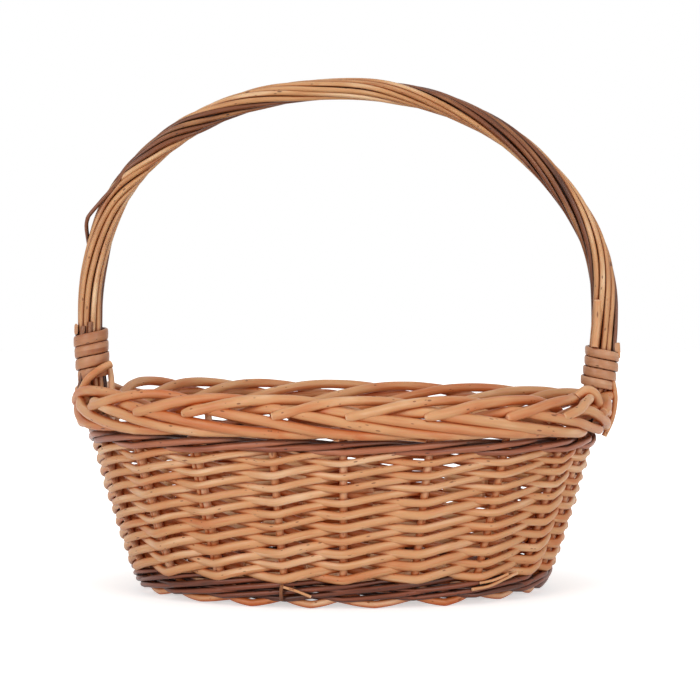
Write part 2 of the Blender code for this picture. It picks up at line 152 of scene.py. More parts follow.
def seen_place(pixel_x, pixel_y, depth):
    """The place at a depth along Y that the photograph shows at a pixel."""
    eye, down = eye_place()
    forward = Vector((0, math.cos(down), -math.sin(down)))
    upward = Vector((0, math.sin(down), math.cos(down)))
    ray = forward * FOCAL_PX + Vector((1, 0, 0)) * (pixel_x - IMAGE_SIZE / 2) + upward * (IMAGE_SIZE / 2 - pixel_y)
    return eye + ray * ((depth - eye.y) / ray.y)


def wobble(seed, place):
    """Smooth noise from -1 to 1."""
    return noise.noise(Vector((place, seed * 7.31, seed * 1.7)))


def smooth_route(knots, steps):
    """A smooth line through given knots, each a tuple of numbers."""
    route = []
    count = len(knots)
    for i in range(count - 1):
        before = knots[max(i - 1, 0)]
        one, two = knots[i], knots[i + 1]
        after = knots[min(i + 2, count - 1)]
        for step in range(steps):
            t = step / steps
            point = []
            for p0, p1, p2, p3 in zip(before, one, two, after):
                bend = 2 * p0 - 5 * p1 + 4 * p2 - p3
                point.append(0.5 * (2 * p1 + (p2 - p0) * t + bend * t**2 + (3 * p1 - p0 - 3 * p2 + p3) * t**3))
            route.append(tuple(point))
    route.append(tuple(knots[-1]))
    return route


class RodBundle:
    """Gathers round rods in one mesh, with a map in metres round and along each rod."""

    def __init__(self):
        self.shape = bmesh.new()
        self.map = self.shape.loops.layers.uv.new("UVMap")
        self.tone = self.shape.verts.layers.float.new("tone")
        self.cut = self.shape.verts.layers.float.new("cut")

    def add(self, path, radii, sides, tone, closed=False, flat=1.0, outs=None, square=1.0):
        """Rolls a sheet of corners round a path; flat squeezes the rod along outs, square fills its corners."""
        count = len(path)
        rings = count + 1 if closed else count
        made = bmesh.ops.create_grid(
            self.shape, x_segments=sides, y_segments=rings - 1, size=0.5, calc_uvs=True
        )["verts"]
        span = sum((path[i % count] - path[i - 1]).length for i in range(1, rings))
        side = None
        for row in range(rings):
            i = row % count
            before = path[i - 1] if closed or i else path[0]
            after = path[(i + 1) % count] if closed or i + 1 < count else path[-1]
            ahead = (after - before).normalized()
            if outs is not None:
                side = outs[i]
            elif side is None:
                side = UP.cross(ahead) if abs(ahead.z) < 0.9 else ACROSS.cross(ahead)
            side = (side - ahead * side.dot(ahead)).normalized()
            upward = ahead.cross(side)
            for column in range(sides + 1):
                angle = turn((column % sides) / sides)
                wide = math.copysign(abs(math.cos(angle)) ** square, math.cos(angle)) * flat
                tall = math.copysign(abs(math.sin(angle)) ** square, math.sin(angle))
                corner = made[row * (sides + 1) + column]
                corner.co = path[i] + (side * wide + upward * tall) * radii[i]
                corner[self.tone] = tone
                if not closed and row in (0, rings - 1):
                    corner[self.cut] = 1.0
        girth = turn(max(radii))
        faces = {face for corner in made for face in corner.link_faces}
        for face in faces:
            for loop in face.loops:
                spot = loop[self.map].uv
                spot.x *= girth
                spot.y *= span
        bmesh.ops.remove_doubles(self.shape, verts=made, dist=MM / 1000)

    def finish(self, name, material, *nodes, slot="buff_willow"):
        ends = [edge for edge in self.shape.edges if edge.is_boundary]
        bmesh.ops.holes_fill(self.shape, edges=ends, sides=0)
        bmesh.ops.recalc_face_normals(self.shape, faces=self.shape.faces)
        mesh = bpy.data.meshes.new(name)
        self.shape.to_mesh(mesh)
        self.shape.free()
        mesh.materials.append(material)
        mesh.shade_smooth()
        mesh.set_sharp_from_angle(angle=math.radians(50))
        piece = bpy.data.objects.new(name, mesh)
        bpy.context.scene.collection.objects.link(piece)
        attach(piece, "root")
        if nodes:
            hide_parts(*nodes)
        return piece


def rod_radii(count, radius, seed, spread=0.06, taper=0.0):
    """Radii along a shoot: thicker at its butt, with slow swells."""
    radii = []
    for i in range(count):
        thinner = 1 + taper * (0.5 - i / count)
        radii.append(radius * thinner * (1 + spread * wobble(seed, i * 0.21)))
    return radii


def cut_end(path, radii, length, share):
    """Draws the first stretch of a rod in to a slanting cut."""
    gone = 0.0
    for i, radius in enumerate(radii):
        if i:
            gone += (path[i] - path[i - 1]).length
        radii[i] = radius * (share + (1 - share) * math.sqrt(min(gone / length, 1.0)))


# Finishes: colours are sRGB hex, turned to linear light by one function


def linear(hex_text):
    """An sRGB hex colour as linear red, green, blue and alpha."""
    values = []
    for i in range(0, 6, 2):
        level = int(hex_text[i : i + 2], 16) / 255
        values.append(level / 12.92 if level <= 0.04045 else ((level + 0.055) / 1.055) ** 2.4)
    return (*values, 1.0)


def add_node(tree, kind, links=(), **settings):
    """Adds a node, sets its properties and plain inputs by name, and links its other inputs."""
    node = tree.nodes.new(kind)
    for name, value in settings.items():
        if name in node.inputs:
            node.inputs[name].default_value = value
        else:
            setattr(node, name, value)
    for key, source in links:
        if isinstance(source, bpy.types.NodeSocket):
            tree.links.new(source, node.inputs[key])
        else:
            node.inputs[key].default_value = source
    return node


def willow(name, middle, pale, deep_and_shade, knot, roughness, streaks, painted_shade_start):
    """A willow shoot: fine lines along the rod, slow patches, dark buds and nicks, painted shade in the gaps."""
    material = bpy.data.materials.new(name)
    material.use_nodes = True
    tree = material.node_tree
    shader = tree.nodes["Principled BSDF"]
    place = add_node(tree, "ShaderNodeUVMap").outputs["UV"]
    tone = add_node(tree, "ShaderNodeAttribute", attribute_name="tone").outputs["Fac"]
    cut = add_node(tree, "ShaderNodeAttribute", attribute_name="cut").outputs["Fac"]

    # each mark's width across the rod and length along it in millimetres, moved on for each rod
    move = add_node(tree, "ShaderNodeMath", [(0, tone), (1, 61.0)], operation="MULTIPLY")
    lift = add_node(tree, "ShaderNodeCombineXYZ", [("Z", move.outputs[0])]).outputs[0]
    at = {}
    for mark, width, length in (("lines", 2.2, 26), ("patches", 14, 40), ("nicks", 3.4, 7), ("buds", 11, 24)):
        scale = (1 / (width * MM), 1 / (length * MM), 1)
        spread = add_node(tree, "ShaderNodeMapping", [("Vector", place)], Scale=scale).outputs[0]
        at[mark] = add_node(tree, "ShaderNodeVectorMath", [(0, spread), (1, lift)]).outputs[0]
    lines = add_node(tree, "ShaderNodeTexNoise", [("Vector", at["lines"])], Scale=1.0, Detail=2.0).outputs["Fac"]
    patches = add_node(tree, "ShaderNodeTexNoise", [("Vector", at["patches"])], Scale=1.0, Detail=2.0).outputs["Fac"]
    nicks = add_node(tree, "ShaderNodeTexVoronoi", [("Vector", at["nicks"])], Scale=1.0).outputs
    buds = add_node(tree, "ShaderNodeTexVoronoi", [("Vector", at["buds"])], Scale=1.0).outputs

    links = [(0, tone), (1, 0.16), (2, -0.08)]
    shade = add_node(tree, "ShaderNodeMath", links, operation="MULTIPLY_ADD").outputs[0]
    links = [(0, patches), (1, 1 - streaks), (2, shade)]
    shade = add_node(tree, "ShaderNodeMath", links, operation="MULTIPLY_ADD").outputs[0]
    links = [(0, lines), (1, streaks), (2, shade)]
    shade = add_node(tree, "ShaderNodeMath", links, operation="MULTIPLY_ADD").outputs[0]
    ranges = {"From Min": 0.10, "From Max": 0.46}
    share = add_node(tree, "ShaderNodeMapRange", [("Value", shade)], **ranges).outputs[0]
    links = [("Factor", share), (6, deep_and_shade), (7, middle)]
    colour = add_node(tree, "ShaderNodeMix", links, data_type="RGBA").outputs[2]
    ranges = {"From Min": 0.50, "From Max": 0.74}
    share = add_node(tree, "ShaderNodeMapRange", [("Value", shade)], **ranges).outputs[0]
    links = [("Factor", share), (6, colour), (7, pale)]
    colour = add_node(tree, "ShaderNodeMix", links, data_type="RGBA").outputs[2]

    size = add_node(tree, "ShaderNodeSeparateColor", [("Color", nicks["Color"])]).outputs[0]
    size = add_node(tree, "ShaderNodeMath", [(0, size), (1, 0.22)], operation="MULTIPLY").outputs[0]
    inside = add_node(tree, "ShaderNodeMath", [(0, size), (1, nicks["Distance"])], operation="SUBTRACT").outputs[0]
    ranges = {"From Min": 0.0, "From Max": 0.05, "To Max": 0.75}
    nick = add_node(tree, "ShaderNodeMapRange", [("Value", inside)], **ranges).outputs[0]
    ranges = {"From Min": 0.085, "From Max": 0.045, "To Max": 0.85}
    bud = add_node(tree, "ShaderNodeMapRange", [("Value", buds["Distance"])], **ranges).outputs[0]
    marks = add_node(tree, "ShaderNodeMath", [(0, nick), (1, bud)], operation="MAXIMUM").outputs[0]
    links = [("Factor", marks), (6, colour), (7, knot)]
    colour = add_node(tree, "ShaderNodeMix", links, data_type="RGBA").outputs[2]

    # painted shade: in the gaps between rods and other hollows the colour darkens to the deep one; a fresh cut is pale
    open_sky = add_node(tree, "ShaderNodeAmbientOcclusion", Distance=12 * MM, samples=16).outputs["AO"]
    ranges = {"From Min": painted_shade_start, "From Max": painted_shade_start - 0.5, "To Max": 0.9}
    share = add_node(tree, "ShaderNodeMapRange", [("Value", open_sky)], **ranges).outputs[0]
    links = [("Factor", share), (6, colour), (7, deep_and_shade)]
    colour = add_node(tree, "ShaderNodeMix", links, data_type="RGBA").outputs[2]
    share = add_node(tree, "ShaderNodeMath", [(0, cut), (1, 0.5)], operation="MULTIPLY").outputs[0]
    links = [("Factor", share), (6, colour), (7, pale)]
    colour = add_node(tree, "ShaderNodeMix", links, data_type="RGBA").outputs[2]
    tree.links.new(colour, shader.inputs["Base Color"])

    links = [(0, lines), (1, 0.24), (2, roughness - 0.12)]
    dull = add_node(tree, "ShaderNodeMath", links, operation="MULTIPLY_ADD").outputs[0]
    tree.links.new(dull, shader.inputs["Roughness"])
    links = [(0, marks), (1, -0.8), (2, lines)]
    height = add_node(tree, "ShaderNodeMath", links, operation="MULTIPLY_ADD").outputs[0]
    bump = add_node(tree, "ShaderNodeBump", [("Height", height)], Strength=0.3, Distance=0.3 * MM)
    tree.links.new(bump.outputs[0], shader.inputs["Normal"])
    shader.inputs["IOR"].default_value = 1.45
    shader.inputs["Specular IOR Level"].default_value = 0.42
    # light that enters the wood comes back red a millimetre further on
    shader.inputs["Subsurface Weight"].default_value = 0.16
    shader.inputs["Subsurface Radius"].default_value = (1.0, 0.32, 0.14)
    shader.inputs["Subsurface Scale"].default_value = 1.6 * MM
    return material


class BasketFinishes(bpy.types.PropertyGroup):
    """Colours of the kinds of willow."""

    peeled: bpy.props.FloatVectorProperty(
        name="Peeled willow", description="Boiled and peeled rods of the basket", size=4, subtype="COLOR",
        default=linear("D09869"), min=0, max=1,
    )
    handle: bpy.props.FloatVectorProperty(
        name="Handle willow", description="Peeled rods of the handle", size=4, subtype="COLOR",
        default=linear("C79262"), min=0, max=1,
    )
    bark: bpy.props.FloatVectorProperty(
        name="Unpeeled willow", description="Rods with their bark on", size=4, subtype="COLOR",
        default=linear("86462C"), min=0, max=1,
    )
    handle_bark: bpy.props.FloatVectorProperty(
        name="Unpeeled handle willow", description="The handle's rods with their bark on", size=4, subtype="COLOR",
        default=linear("7B4628"), min=0, max=1,
    )
    skein: bpy.props.FloatVectorProperty(
        name="Binding willow", description="The flat rods of the bindings", size=4, subtype="COLOR",
        default=linear("B8815C"), min=0, max=1,
    )


def finish_named(name):
    """A finish of the rods, made once from the panel's colours."""
    found = bpy.data.materials.get(name)
    if found is not None:
        return found
    colours = bpy.context.scene.basket_finishes
    # each finish's middle, pale, deep and bud colours, its roughness, how streaky it is, and how open a spot
    # may be before the deep colour is painted into it as shade
    kinds = {
        # smooth skinless wood, warm buff with a soft shine, fine lines and small dark nicks
        "boiled_peeled_willow": (colours.peeled, "E8C19B", "BC5618", "6E3416", 0.44, 0.3, 0.74),
        # the same shoots a little yellower, as they were sorted for the handle
        "sorted_peeled_willow": (colours.handle, "EAC8A0", "8E4216", "5A2A12", 0.36, 0.4, 0.88),
        # bark boiled dark: brown with a greyish bloom along it, and painted shade near black in its creases
        "unpeeled_willow": (colours.bark, "B06C4C", "240A05", "1C0D09", 0.38, 0.55, 0.80),
        # the handle's bark is worn by hands to a yellower brown
        "handworn_unpeeled_willow": (colours.handle_bark, "A8744A", "240D06", "1C0D09", 0.34, 0.5, 0.92),
        # a rod split and shaved flat: a pinker buff, a little glossier
        "shaved_skein_willow": (colours.skein, "CE9E7A", "8A4018", "4E2612", 0.40, 0.3, 0.84),
    }
    middle, pale, deep_and_shade, knot, *levels = kinds[name]
    return willow(name, tuple(middle), linear(pale), linear(deep_and_shade), linear(knot), *levels)


class BasketRods(bpy.types.PropertyGroup):
    """Sizes of the woven rods."""

    weaver_low: bpy.props.FloatProperty(
        name="Lowest weaver", description="Radius of the lowest siding rods", default=0.0033,
        subtype="DISTANCE", unit="LENGTH",
    )
    weaver_high: bpy.props.FloatProperty(
        name="Highest weaver", description="Radius of the highest siding rods", default=0.0027,
        subtype="DISTANCE", unit="LENGTH",
    )
    wale: bpy.props.FloatProperty(
        name="Wale rod", description="Radius of the brown rods", default=0.0021, subtype="DISTANCE", unit="LENGTH",
    )
    border: bpy.props.FloatProperty(
        name="Border rod", description="Radius of the rim's rods", default=0.0037, subtype="DISTANCE", unit="LENGTH",
    )
    handle: bpy.props.FloatProperty(
        name="Handle rod", description="Radius of the rods round the bow", default=0.00192,
        subtype="DISTANCE", unit="LENGTH",
    )


# A siding rod's way: how far it dips at a stake it passes outside, climbs between two, and stands off its
# partner there, how straight it runs from stake to stake, and how flat it lies
DIP = 2.5 * MM
CLIMB = 2.3 * MM
STAND_OFF = 2.2 * MM
KINK = 0.988
FLATNESS = 0.82
TAIL = 0.42
ROD_SPANS = ((6, 8, 6), (8, 6, 6), (6, 6, 8), (10, 10), (8, 12))


def kinked(swing):
    """Runs straight between its turning points, as a rod does that bends sharply over each stake."""
    return math.asin(KINK * swing) / math.asin(KINK)


def siding_rod(level, phase, radius, first, span, seed, row_seed):
    """One rod of a row, from inside one stake to inside another, low outside a stake and high inside the next."""
    offset = STAKE_RADIUS + radius * 0.72
    steps = 14
    path, outs = [], []
    for i in range(int((span + 2 * TAIL) * steps) + 1):
        number = first - TAIL + i / steps
        past = max(first - number, number - first - span, 0.0) / TAIL
        swing = kinked(math.cos(math.pi * (number + phase))) if past == 0 else -1.0
        climb = math.sin(math.pi * (number + phase)) if past == 0 else 0.0
        tuck = max(0.0, 1 - (number - first + TAIL)) - max(0.0, 1 - (first + span + TAIL - number))
        out = offset * swing + STAND_OFF * climb - 1.4 * MM * past
        rise = CLIMB * climb - DIP * swing - 1.8 * MM * tuck
        rise += 0.9 * MM * wobble(row_seed, number * 0.37) + 0.6 * MM * wobble(seed, number * 0.8)
        path.append(woven_place(upright_angle(number), level, out, rise))
        outs.append(woven_place(upright_angle(number), level, out + MM, rise) - path[-1])
    return path, outs


class BASKET_OT_siding(bpy.types.Operator):
    """Weave the ten rows of paired rods"""

    bl_idname = "basket.siding"
    bl_label = "Siding weavers"

    def execute(self, context):
        sizes = context.scene.basket_rods
        number = 1
        for row in range(ROW_COUNT):
            radius = sizes.weaver_low + (sizes.weaver_high - sizes.weaver_low) * row / (ROW_COUNT - 1)
            level = FIRST_ROW_HEIGHT + row * ROW_PITCH * 1.018
            for phase in range(2):
                chance = random.Random(number)
                bundle = RodBundle()
                first = 2 * chance.randrange(UPRIGHTS // 2) + 1 - phase
                for span in chance.choice(ROD_SPANS):
                    seed = chance.randrange(1000)
                    path, outs = siding_rod(level, phase, radius, first, span, seed, row + 50)
                    radii = rod_radii(len(path), radius * chance.uniform(0.86, 1.08), seed, 0.06, 0.2)
                    bundle.add(path, radii, 12, chance.random(), flat=FLATNESS, outs=outs)
                    first += span
                finish = finish_named("boiled_peeled_willow")
                bundle.finish(f"peeled_weaver_{number:02d}", finish, f"siding_weaver_{number:02d}")
                number += 1
        return {"FINISHED"}


# Uprights that have a thinner rod set beside them, and how far round the oval that stands
DOUBLED_UPRIGHTS = (12, 13)
BESIDE_ANGLE = 0.028


class BASKET_OT_stakes(bpy.types.Operator):
    """Set the upright stakes"""

    bl_idname = "basket.stakes"
    bl_label = "Stakes"

    def execute(self, context):
        number = 1
        top = BORDER_BOTTOM + 6 * MM
        for index, share in enumerate(UPRIGHT_TURN_SHARES):
            if index in (0, UPRIGHTS // 2):
                continue
            angle = turn(share)
            knots = []
            for part in (0.82, 0.93, 0.985):
                knots.append(oval_place(angle, FOOT_HALF_LENGTH * part, FOOT_HALF_DEPTH * part, STAKE_BASE_HEIGHT))
            for part in (0.16, 0.3, 0.45, 0.6, 0.75, 0.9, 1.0):
                knots.append(wall_place(angle, part * top))
            path = [Vector(point) for point in smooth_route(knots, 5)]
            bundle = RodBundle()
            tone = random.Random(300 + number).uniform(0.6, 1.4)
            bundle.add(path, rod_radii(len(path), STAKE_RADIUS, number + 90), 12, tone)
            if index in DOUBLED_UPRIGHTS:
                beside = [wall_place(angle - BESIDE_ANGLE, part / 20 * top) for part in range(4, 20)]
                bundle.add(beside, rod_radii(len(beside), STAKE_RADIUS * 0.7, number + 60), 12, tone - 0.5)
            bundle.finish(f"peeled_stake_{number:02d}", finish_named("boiled_peeled_willow"), f"stake_{number:02d}")
            number += 1
        return {"FINISHED"}


# A wale rod's round of three stakes: place along, out and up as shares of its offset and its lift
WALE_SHARES = ((0.0, -1.0, 0.0), (0.5, 0.0, -1.0), (1.0, 1.0, -0.9), (2.0, 1.0, 0.9), (2.5, 0.0, 1.0), (3.0, -1.0, 0.0))


def three_rod_wale(bundle, level, radius, lift, seed, tone):
    """A round of three rods: each passes outside two stakes and inside the third, climbing as it goes."""
    offset = STAKE_RADIUS + radius
    steps = 10
    for rod in range(3):
        chance = random.Random(seed + rod)
        size = radius * chance.uniform(0.84, 1.06)
        path = []
        for i in range(int((UPRIGHTS + 1.6) * steps) + 1):
            number = rod + i / steps + UPRIGHTS / 4
            phase = (i / steps) % 3
            for one, two in zip(WALE_SHARES, WALE_SHARES[1:]):
                if one[0] <= phase <= two[0]:
                    t = (phase - one[0]) / (two[0] - one[0])
                    out = one[1] + (two[1] - one[1]) * t
                    rise = one[2] + (two[2] - one[2]) * t
                    break
            rise = lift * rise + 2.0 * MM * wobble(seed + rod, number * 0.8)
            out = offset * out + 0.8 * MM * wobble(seed + rod + 40, number * 0.7)
            path.append(woven_place(upright_angle(number), level, out, rise))
        bundle.add(path, rod_radii(len(path), size, seed + rod, 0.12, 0.2), 10, tone + chance.random())


class BASKET_OT_wales(bpy.types.Operator):
    """Weave the dark bands under the border and at the foot"""

    bl_idname = "basket.wales"
    bl_label = "Brown wales"

    def execute(self, context):
        radius = context.scene.basket_rods.wale
        bark = finish_named("unpeeled_willow")
        top = RodBundle()
        three_rod_wale(top, 114.0 * MM, radius * 1.16, 2.9 * MM, 500, 0.8)
        top.finish("brown_top_wale", bark, "top_wale_weaver_1", "top_wale_weaver_2", slot="brown_willow")
        foot = RodBundle()
        # the foot band's darker tone is painted shade, for the shade the foot stands in
        three_rod_wale(foot, 16.0 * MM, radius * 1.02, 3.0 * MM, 520, -0.8)
        three_rod_wale(foot, 10.8 * MM, radius * 1.02, 2.7 * MM, 540, -0.8)
        foot.finish("brown_foot_wale", bark, "foot_wale", slot="brown_willow")
        return {"FINISHED"}


# The border's rods, one of each kind to a stake: place along in stakes, out and up in millimetres
FALLING_KNOTS = (
    (-0.35, -3.0, 12.0), (0.0, 2.0, 17.5), (0.3, 7.5, 19.5), (0.7, 10.6, 16.0), (1.2, 11.6, 10.8),
    (1.7, 11.5, 6.0), (2.08, 10.6, 3.9), (2.24, 9.2, 3.4), (2.6, 5.0, 3.6), (2.95, 0.0, 4.6),
)
RISING_KNOTS = (
    (-0.08, 12.4, 15.8), (0.22, 11.4, 19.8), (0.6, 7.6, 25.0), (1.05, 2.0, 27.0), (1.5, -4.0, 25.6),
    (1.95, -8.6, 20.5), (2.4, -10.4, 13.6), (2.85, -9.4, 7.6), (3.2, -6.0, 4.4),
)
# How far the front rods lie off their stakes in the photograph, by the stake they start at
FALLING_SHIFTS = {9: 0.42, 10: 0.2, 11: 0.07, 12: -0.2, 13: -0.1, 14: -0.2, 15: -0.4, 16: -0.45, 17: -0.3}
RISING_SHIFTS = {11: 0.45, 12: 0.37, 13: 0.07, 14: 0.16, 15: 0.1, 16: -0.06, 17: -0.09, 18: -0.25}


def handle_lean(side, height):
    """The photographed handle stands to the right over the rim, and a little to the left over its shoulders."""
    low = 0.135 if side > 0 else 0.12
    rising = min(max((height - low) / 0.03, 0.0), 1.0)
    falling = min(max((height - 0.24) / 0.075, 0.0), 1.0)
    ease = falling**2 * (3 - 2 * falling)
    return (3.3 * rising * (1 - ease) - 1.3 * ease) * MM


def clear_of_legs(place, radius):
    """Moves a place sideways until a rod there clears the handle's leg."""
    for side in (-1, 1):
        leg = Vector((side * leg_reach(place.z) + handle_lean(side, place.z), 0, place.z))
        apart = place - leg
        room = (5.4 if place.z < BORDER_BOTTOM + 18 * MM else 8.2) * MM + radius
        if apart.length < room:
            return leg + apart.normalized() * room
    return place


def border_rod(bundle, number, knots, shift, radius, seed):
    """Carries one rod of the plait round the rim, clear of the handle's legs."""
    chance = random.Random(seed)
    lift = chance.uniform(-0.7, 0.7)
    path = []
    for along, out, rise in smooth_route(knots, 7):
        ease = max(0.0, 1 - max(along - 0.6, 0.0) / 1.8)
        angle = upright_angle(number + shift * ease + along)
        rise += lift + 0.7 * wobble(seed + 3, along * 0.8)
        rise += 5.0 * max(0.0, math.sin(angle)) * max(0.0, -math.cos(angle))
        place = wall_place(angle, BORDER_BOTTOM + rise * MM, (out + 0.7 * wobble(seed, along)) * MM)
        path.append(clear_of_legs(place, radius))
    radii = rod_radii(len(path), radius * chance.uniform(0.92, 1.06), seed, 0.07, 0.12)
    cut_end(path, radii, chance.uniform(3, 9) * MM, chance.uniform(0.35, 0.8))
    # a lower tone than the weavers' darkens the rim's rods: painted shade
    bundle.add(path, radii, 14, chance.uniform(-0.7, 0.3))


class BASKET_OT_border(bpy.types.Operator):
    """Plait the thick rim from its falling and rising rods"""

    bl_idname = "basket.border"
    bl_label = "Rim border"

    def execute(self, context):
        radius = context.scene.basket_rods.border
        bundle = RodBundle()
        for number in range(UPRIGHTS):
            chance = random.Random(680 + number)
            falling = FALLING_SHIFTS.get(number, chance.uniform(-0.1, 0.1))
            rising = RISING_SHIFTS.get(number, chance.uniform(-0.1, 0.1))
            border_rod(bundle, number, FALLING_KNOTS, falling, radius, 700 + number)
            border_rod(bundle, number, RISING_KNOTS, rising, radius * 0.95, 760 + number)
        bundle.finish("plaited_border", finish_named("boiled_peeled_willow"), "rim_border")
        return {"FINISHED"}


# The foot's pale rods, one to a stake, in the same terms
FOOT_KNOTS = (
    (-0.3, -4.5, 11.0), (0.0, 3.0, 8.9), (0.25, 5.6, 5.2), (0.45, 6.2, 3.0), (0.55, 6.2, 3.0),
    (0.75, 5.6, 5.2), (1.0, 3.0, 8.9), (1.3, -4.5, 11.0),
)
FOOT_LOW = 3.0


class BASKET_OT_foot(bpy.types.Operator):
    """Lay the pale rods of the foot border"""

    bl_idname = "basket.foot"
    bl_label = "Foot border"

    def execute(self, context):
        radius = 2.65 * MM
        bundle = RodBundle()
        for number in range(UPRIGHTS):
            chance = random.Random(900 + number)
            shift = chance.uniform(-0.08, 0.08)
            size = radius * chance.uniform(0.88, 1.05)
            steep = chance.uniform(0.3, 0.85)
            path = []
            for along, out, rise in smooth_route(FOOT_KNOTS, 6):
                angle = upright_angle(number + shift + along)
                rise = FOOT_LOW + (rise - FOOT_LOW) * steep + 5 * max(0.0, abs(math.cos(angle)) - 0.5)
                path.append(oval_place(angle, FOOT_HALF_LENGTH, FOOT_HALF_DEPTH, rise * MM, out * MM))
            tone = -0.8 if number % 3 == 1 else chance.uniform(0.7, 1.6)
            bundle.add(path, rod_radii(len(path), size, number + 900, 0.03), 12, tone)
        bundle.finish("pale_foot_border", finish_named("boiled_peeled_willow"), "foot_border")
        return {"FINISHED"}


BASE_SLOT = (0.066, 0.013)
BASE_RIM = (0.133, 0.089)
CROSS_STICKS = tuple((i - 2) * 0.028 for i in range(5))
BASE_RINGS = 17


def base_phase(angle, half_length):
    """How far round the sticks a base weaver has come: a whole number at each stick that it crosses."""
    knots = [0.0]
    for x in reversed(CROSS_STICKS):
        knots.append(math.acos(max(-0.98, min(0.98, x / half_length))))
    knots.append(math.pi)
    half_turn, part = divmod(angle, math.pi)
    if half_turn % 2:
        knots = [math.pi - knot for knot in reversed(knots)]
    for i, (one, two) in enumerate(zip(knots, knots[1:])):
        if part <= two:
            return half_turn * (len(knots) - 1) + i + (part - one) / (two - one)
    return half_turn * (len(knots) - 1) + len(knots) - 1


class BASKET_OT_base(bpy.types.Operator):
    """Weave the oval base round its crossed sticks"""

    bl_idname = "basket.base"
    bl_label = "Base"

    def execute(self, context):
        buff = finish_named("boiled_peeled_willow")
        mat = RodBundle()
        for ring in range(BASE_RINGS):
            share = (ring + 0.5) / BASE_RINGS
            half_length = BASE_SLOT[0] + (BASE_RIM[0] - BASE_SLOT[0]) * share
            half_depth = BASE_SLOT[1] + (BASE_RIM[1] - BASE_SLOT[1]) * share
            path = []
            count = 144
            for i in range(count):
                angle = turn(i / count)
                sway = math.cos(math.pi * (base_phase(angle, half_length) + ring))
                path.append(oval_place(angle, half_length, half_depth, STAKE_BASE_HEIGHT + 2.4 * MM * sway))
            radii = rod_radii(count, 2.25 * MM, ring + 1100, 0.03)
            mat.add(path, radii, 8, random.Random(1100 + ring).random(), closed=True)
        mat.finish("woven_base_mat", buff, "base_weave")
        sticks = RodBundle()
        nodes = []
        for i in range(3):
            nodes.append(f"base_long_stick_{i + 1}")
            self.stick(sticks, nodes[-1], 0, 1200 + i)
        for i in range(5):
            nodes.append(f"base_cross_stick_{i + 1}")
            self.stick(sticks, nodes[-1], 1, 1210 + i)
        sticks.finish("base_sticks", buff, *nodes)
        return {"FINISHED"}

    def stick(self, bundle, node, axis, seed):
        """One base stick in the room of its node."""
        low, high = (Vector(corner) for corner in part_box(node))
        start = (low + high) / 2
        end = start.copy()
        start[axis] = low[axis]
        end[axis] = high[axis]
        path = [start.lerp(end, i / 24) for i in range(25)]
        width = (high - low)[1 - axis] / 2
        flat = (high - low).z / 2 / width
        radii = rod_radii(len(path), width, seed, 0.04)
        bundle.add(path, radii, 12, random.Random(seed).random(), flat=flat, outs=[UP] * len(path))


# The handle's line and its rods' twist, as the frame has them
HANDLE_TOP_HEIGHT = 0.3695
HANDLE_ROUND_POWER = 2.12
ROD_START_HEIGHT = BORDER_BOTTOM + BORDER_HEIGHT + 0.0010
ROD_OUTER_TOP = 0.0081
ROD_OUTER_LEG = 0.0095
TWIST_MIDDLE = 0.142
TWIST_HALF = 1.056
TWIST_EASE = 0.8
ROD_ROOT_HEIGHT = 0.129
ROD_ROOT_REACH = 0.0066


def handle_line(low, leg_steps, arch_steps):
    """The bow's line from the right leg over the arch to the left one."""
    right = []
    for i in range(leg_steps):
        height = low + (HANDLE_SPRING_HEIGHT - low) * i / leg_steps
        right.append(Vector((wall_half_axes(height)[0], 0, height)))
    rise = HANDLE_TOP_HEIGHT - HANDLE_SPRING_HEIGHT
    power = 2 / HANDLE_ROUND_POWER
    arch = []
    for i in range(arch_steps + 1):
        angle = math.pi * i / arch_steps
        reach = HANDLE_HALF_SPAN * abs(math.cos(angle)) ** power * math.copysign(1, math.cos(angle))
        arch.append(Vector((reach, 0, HANDLE_SPRING_HEIGHT + rise * max(math.sin(angle), 0.0) ** power)))
    left = [Vector((-point.x, 0, point.z)) for point in reversed(right)]
    line = right + arch + left
    for point in line:
        point.x += handle_lean(point.x, point.z)
    return line


# Where the photographed rods run behind or ahead of that even twist, in degrees by their part of the way
TWIST_STRAYS = (
    (-0.2, 0), (0.06, 8), (0.2, 34), (0.28, -12), (0.36, -50), (0.44, -46), (0.55, 8), (0.8, 26), (0.95, 0), (1.2, 0),
)


def twist_turns(part):
    """Turns that the rods have made at a part of their way from the left, fewer near the ends."""
    away = 2 * part - 1
    even = TWIST_MIDDLE + TWIST_HALF * (TWIST_EASE * math.sin(math.pi / 2 * away) + (1 - TWIST_EASE) * away)
    for (one, start), (two, end) in zip(TWIST_STRAYS, TWIST_STRAYS[1:]):
        if one <= part <= two:
            ease = 0.5 - 0.5 * math.cos(math.pi * (part - one) / (two - one))
            return even - (start + (end - start) * ease) / 360
    return even


def rod_reach(height):
    """How far the handle's rods reach from the bow's line: drawn in at the top, and where they enter the rim."""
    share = (height - HANDLE_SPRING_HEIGHT) / (HANDLE_TOP_HEIGHT - HANDLE_SPRING_HEIGHT)
    reach = ROD_OUTER_LEG + (ROD_OUTER_TOP - ROD_OUTER_LEG) * min(max(share, 0.0), 1.0)
    rooted = (height - ROD_ROOT_HEIGHT) / (ROD_START_HEIGHT - ROD_ROOT_HEIGHT)
    return ROD_ROOT_REACH + (reach - ROD_ROOT_REACH) * min(rooted, 1.0)


